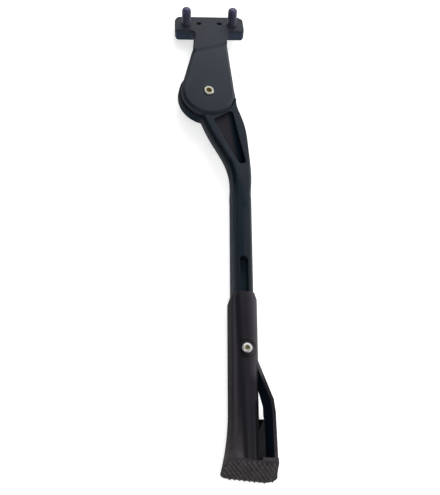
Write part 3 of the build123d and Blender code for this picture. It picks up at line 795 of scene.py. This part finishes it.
def stain_group():
    """Old oil in a screw's socket: a dull colour inside a radius about the screw's axis."""
    number, colour, vector = "NodeSocketFloat", "NodeSocketColor", "NodeSocketVector"
    group, given, put_out = shader_group(
        "socket stain",
        [("Colour", colour, (0.5, 0.5, 0.5, 1)), ("Stain Colour", colour, (0.20, 0.17, 0.05, 1)),
         ("Head", vector, pivot_head), ("Axis", vector, leg_out), ("Radius", number, 0.002)],
        [("Colour", colour), ("Metal", number)])
    offset = vectors(group, "SUBTRACT", place_on_part(group), given["Head"])
    away = measured(group, "LENGTH", vectors(group, "CROSS_PRODUCT", offset, given["Axis"]))
    clean = ramp(group, maths(group, "DIVIDE", away, given["Radius"]), low=0.9, high=1.1)
    group.links.new(blended(group, clean, given["Stain Colour"], given["Colour"]), put_out["Colour"])
    group.links.new(clean, put_out["Metal"])
    return group


stain = stain_group()


def plated_steel(name, colour, worn_colour):
    """Zinc plate over steel, in one shade of brightness."""
    material = skin_material(name, specular=0.5, tint=(1, 1, 1, 1), Colour=colour, Drift_Colour=worn_colour,
                             Drift_Size=0.004, Grain_Size=0.0002, Grain_Height=0.000006, Roughness=0.34,
                             Corner_Width=0.0003, Corner_Colour=worn_colour, Corner_Wear=0.8)
    material.node_tree.nodes["Principled BSDF"].inputs["Metallic"].default_value = 1.0
    return material


def add_stain(material, head_top, radius):
    """Lays the socket's stain over a screw's plated steel."""
    layer, shader = lay_over(material, stain, Head=head_top, Radius=radius)
    material.node_tree.links.new(layer.outputs["Metal"], shader.inputs["Metallic"])


def knurl_tree():
    """Straight ridges round a screw head, whose top is at the origin and whose axis is Z."""
    number = "NodeSocketFloat"
    tree, given = shape_tree("knurl", [
        ("Count", "NodeSocketInt", 40), ("Radius", number, 0.004), ("Head", number, 0.005),
        ("Plain Rim", number, 0.0005), ("Ridge Width", number, 0.0003), ("Ridge Rise", number, 0.0001),
        ("Finish", "NodeSocketMaterial", None)])
    ring = add_node(tree, "GeometryNodeMeshCircle", [("Vertices", given["Count"]),
                                                     ("Radius", given["Radius"])]).outputs[0]
    length = maths(tree, "SUBTRACT", given["Head"], maths(tree, "MULTIPLY", given["Plain Rim"], 2.0))
    thick = maths(tree, "MULTIPLY", given["Ridge Rise"], 2.0)
    size = add_node(tree, "ShaderNodeCombineXYZ", [("X", thick), ("Y", given["Ridge Width"]), ("Z", length)])
    ridge = add_node(tree, "GeometryNodeMeshCube", [("Size", size.outputs[0])]).outputs["Mesh"]
    spot = add_node(tree, "GeometryNodeInputPosition").outputs[0]
    outward = add_node(tree, "FunctionNodeAlignRotationToVector", [("Vector", spot)], axis="X").outputs[0]
    ridges = copies(tree, ring, ridge, Rotation=outward)
    drop = add_node(tree, "ShaderNodeCombineXYZ", [("Z", maths(tree, "MULTIPLY", given["Head"], -0.5))])
    lowered = add_node(tree, "GeometryNodeTransform", [("Geometry", ridges),
                                                       ("Translation", drop.outputs[0])]).outputs[0]
    return end_tree(tree, lowered, given["Finish"])


steel = plated_steel("zinc plated steel", (0.44, 0.43, 0.40, 1), (0.54, 0.53, 0.50, 1))
pivot_steel = plated_steel("pivot screw steel", (0.20, 0.195, 0.175, 1), (0.24, 0.235, 0.215, 1))
add_stain(pivot_steel, pivot_head, pivot_stain_radius)
clamp_steel = plated_steel("clamp screw steel", (0.46, 0.45, 0.43, 1), (0.56, 0.55, 0.53, 1))
add_stain(clamp_steel, clamp_head, clamp_stain_radius)
for node, body, finish in (("pivot_screw", "bracket", pivot_steel), ("retaining_washer", "bracket", steel),
                           ("lock_nut", "bracket", steel), ("clamp_screw", "foot", clamp_steel),
                           ("clamp_nut", "foot", steel)):
    piece = rounded_copy(node, node + "_plated", screw_round)
    dress(piece, finish, body, "steel", node)
knurl = knurl_tree()
leg_turn = Matrix((leg_across, leg_up, leg_out)).transposed().to_4x4()
for name, body, finish, top, radius, height in (
        ("pivot_knurl", "bracket", pivot_steel, pivot_head, pivot_head_radius, pivot_head_height),
        ("clamp_knurl", "foot", clamp_steel, clamp_head, clamp_head_radius, clamp_head_height)):
    ridges = grown(name, knurl, {"Count": ridge_count, "Radius": radius, "Head": height,
                                 "Plain Rim": plain_rim, "Ridge Width": radius * ridge_share,
                                 "Ridge Rise": ridge_rise, "Finish": finish})
    ridges.data.transform(Matrix.Translation(top) @ leg_turn)
    dress(ridges, finish, body, "steel")


# Inside the pivot: two nylon bushes on the journal, the detent's steel ball and spring, and the lock nut's
# nylon insert. They are hidden in use, so bushes, ball and spring keep their CAD shapes.
# The insert is a plain ring, pressed into the outer end of the nut.
nut_end = 0.02375
insert_end = pivot_point - leg_out * nut_end
insert_bore = 0.0025
insert_radius = 0.0032
insert_depth = 0.0008
insert_proud = 0.00004
insert_steps = 36
nylon = skin_material("natural nylon", specular=0.45, tint=(1, 1, 1, 1), Colour=(0.62, 0.60, 0.54, 1),
                      Drift_Colour=(0.68, 0.66, 0.60, 1), Roughness=0.5, Corner_Colour=(0.7, 0.69, 0.64, 1))
for node, finish in (("front_bush", nylon), ("rear_bush", nylon), ("detent_ball", steel),
                     ("detent_spring", steel)):
    hidden = frame["nodes"][node]
    hidden.data.materials.clear()
    hidden.data.materials.append(finish)
insert_shape = bmesh.new()
insert_rings = []
turns = [2 * math.pi * step / insert_steps for step in range(insert_steps)]
for radius, level in ((insert_bore, insert_depth), (insert_bore, -insert_proud),
                      (insert_radius, -insert_proud), (insert_radius, insert_depth)):
    insert_rings.append([insert_shape.verts.new(insert_end + leg_out * level
                                                + leg_across * radius * math.cos(turn)
                                                + leg_up * radius * math.sin(turn)) for turn in turns])
for ring, following in zip(insert_rings, insert_rings[1:] + insert_rings[:1]):
    bridge(insert_shape, ring, following)
insert = closed_piece(insert_shape, "nut_insert")
bpy.context.scene.collection.objects.link(insert)
dress(insert, nylon, "bracket", "bush_nylon")


# Studio: the stand lies on a white light table, lit from above by one soft box in a pale room.
# A low lamp lights its right edges, and a weak one at the camera fills the shade.
# The camera looks down on it as the photograph does; the table is see-through from behind.
camera_at = on_leg(-0.115572, -0.154223, 0.473895)
camera_tilt = math.radians(25.3826)
camera_swing = math.radians(-11.5369)
camera_roll = math.radians(-0.0207)
camera_turn = leg_turn @ Euler((camera_tilt, camera_swing, camera_roll)).to_matrix().to_4x4()
camera_right, camera_up, camera_back = camera_turn.to_3x3().transposed()
photo_focus = 735.0
photo_height = 495.0
camera_data = bpy.data.cameras.new("camera")
camera_data.sensor_width = 36.0
camera_data.lens = photo_focus / photo_height * camera_data.sensor_width
camera = bpy.data.objects.new("camera", camera_data)
bpy.context.scene.collection.objects.link(camera)
camera.matrix_world = Matrix.Translation(camera_at) @ camera_turn
bpy.context.scene.camera = camera

table_lean_up = 0.01738
table_lean_across = -0.00164
table_normal = (leg_out + leg_up * table_lean_up + leg_across * table_lean_across).normalized()
table_level = 0.02545
table_point = pivot_point - leg_out * table_level
table_half = 2.0
table_white = (0.8, 0.8, 0.8, 1)
table_glow = 0.40
table_lift = 0.16
table_across = (camera_right - table_normal * camera_right.dot(table_normal)).normalized()
table_along = table_normal.cross(table_across)
table_corners = [table_point + table_across * table_half * x + table_along * table_half * y
                 for x, y in ((-1, -1), (1, -1), (1, 1), (-1, 1))]
table_mesh = bpy.data.meshes.new("table")
table_mesh.from_pydata(table_corners, [], [(0, 1, 2, 3)])
table = bpy.data.objects.new("table", table_mesh)
bpy.context.scene.collection.objects.link(table)
white = bpy.data.materials.new("white table")
white.use_nodes = True
white_tree = white.node_tree
white_tree.nodes.clear()
paper = add_node(white_tree, "ShaderNodeBsdfDiffuse", [("Color", table_white)])
ray = add_node(white_tree, "ShaderNodeLightPath").outputs
direct = maths(white_tree, "MAXIMUM", ray["Is Camera Ray"], ray["Is Glossy Ray"])
seen = maths(white_tree, "MAXIMUM", direct, ray["Is Transmission Ray"])
strength = maths(white_tree, "MULTIPLY_ADD", seen, table_lift, table_glow)
glow = add_node(white_tree, "ShaderNodeEmission", [("Color", (1, 1, 1, 1)), ("Strength", strength)])
lit = add_node(white_tree, "ShaderNodeAddShader", [(0, paper.outputs[0]), (1, glow.outputs[0])])
clear = add_node(white_tree, "ShaderNodeBsdfTransparent")
behind = add_node(white_tree, "ShaderNodeNewGeometry").outputs["Backfacing"]
side = add_node(white_tree, "ShaderNodeMixShader", [(0, behind), (1, lit.outputs[0]), (2, clear.outputs[0])])
add_node(white_tree, "ShaderNodeOutputMaterial", [("Surface", side.outputs[0])])
table_mesh.materials.append(white)

stand_middle = (cad_low + cad_high) / 2
lamp_away = 0.95
soft_box_aim = camera_right * 0.22 + camera_up * 0.95 + camera_back * 0.22
soft_box_size = 0.75
soft_box_power = 5.1
rim_aim = leg_across * 0.91 + leg_up * 0.30 + leg_out * 0.26
rim_size = 0.35
rim_power = 2.4
fill_size = 0.30
fill_power = 0.85


def soft_lamp(name, place, size, power):
    """A square soft box at a place, turned to the middle of the stand, and not seen by the camera."""
    data = bpy.data.lights.new(name, "AREA")
    data.shape = "SQUARE"
    data.size = size
    data.energy = power
    lamp = bpy.data.objects.new(name, data)
    bpy.context.scene.collection.objects.link(lamp)
    turn = (place - stand_middle).to_track_quat("Z", "Y")
    lamp.matrix_world = Matrix.Translation(place) @ turn.to_matrix().to_4x4()
    lamp.visible_camera = False


soft_lamp("soft box", stand_middle + soft_box_aim.normalized() * lamp_away, soft_box_size, soft_box_power)
soft_lamp("rim", stand_middle + rim_aim.normalized() * lamp_away, rim_size, rim_power)
soft_lamp("fill", camera_at, fill_size, fill_power)

room_colour = (0.97, 0.99, 1.0, 1)
room_dim = 0.06
room_bright = 1.0
room_curve = 1.6
bright_side = (leg_across * 0.8725 + leg_up * 0.3336 + leg_out * 0.35).normalized()
room = bpy.data.worlds.new("room")
room.use_nodes = True
room_tree = room.node_tree
direction = add_node(room_tree, "ShaderNodeTexCoord").outputs["Generated"]
toward = ramp(room_tree, measured(room_tree, "DOT_PRODUCT", direction, bright_side), low=-1.0, high=1.0)
curved = maths(room_tree, "POWER", toward, room_curve)
level = ramp(room_tree, curved, low=0.0, high=1.0, at_low=room_dim, at_high=room_bright)
backdrop = room_tree.nodes["Background"]
backdrop.inputs["Color"].default_value = room_colour
room_tree.links.new(level, backdrop.inputs["Strength"])
bpy.context.scene.world = room
bpy.context.scene.view_settings.view_transform = "Standard"
